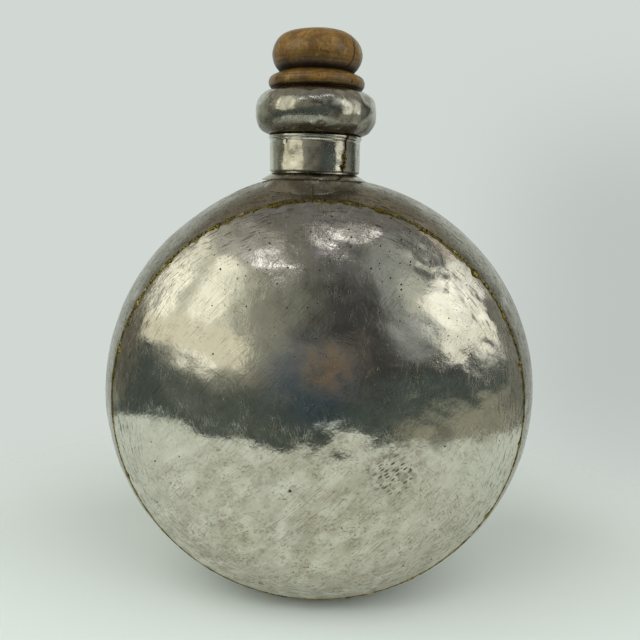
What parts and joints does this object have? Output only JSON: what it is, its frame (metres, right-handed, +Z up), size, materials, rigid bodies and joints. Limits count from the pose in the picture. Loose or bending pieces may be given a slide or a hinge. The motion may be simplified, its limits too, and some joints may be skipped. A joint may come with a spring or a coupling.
{
  "type": "pilgrim flask",
  "caption": "Round two-domed sheet-metal flask with a side band, brazed seams, a collared neck with a hollow ring, and a turned wooden stopper.",
  "frame": {"origin": "on the floor under the middle of the body, at the middle of the flattened foot", "axes": "+Z up along the neck, -Y out of the front dome, +X to the right when the front dome faces the viewer"},
  "size_m": [0.254, 0.169, 0.3331],
  "materials": {
    "tinned_sheet": "hand-hammered iron sheet, tinned, worn and polished by handling",
    "neck_metal": "hammered and planished sheet, brighter than the body",
    "solder": "dull grey soft solder with a rough surface",
    "braze": "olive-brown tarnished brass braze",
    "rim_metal": "brown patinated brass lip",
    "turned_wood": "turned hardwood, oiled and darkened by use, with fine turning lines"
  },
  "bodies": {
    "flask": {"front_dome": "tinned_sheet", "rear_dome": "tinned_sheet", "side_band": "tinned_sheet", "front_seam_braze": "braze", "rear_seam_braze": "braze", "band_joint_braze": "braze", "neck_flange": "tinned_sheet", "flange_solder": "solder", "neck_sleeve": "neck_metal", "sleeve_joint_braze": "braze", "neck_bead": "neck_metal", "neck_bulb": "neck_metal", "mouth_rim": "rim_metal"},
    "stopper_body": {"stopper": "turned_wood"}
  },
  "joints": [
    {"name": "stopper_lift", "type": "slide", "parent": "flask", "child": "stopper_body", "axis": [0, 0, 1], "range_m": [0, 0.05]}
  ]
}
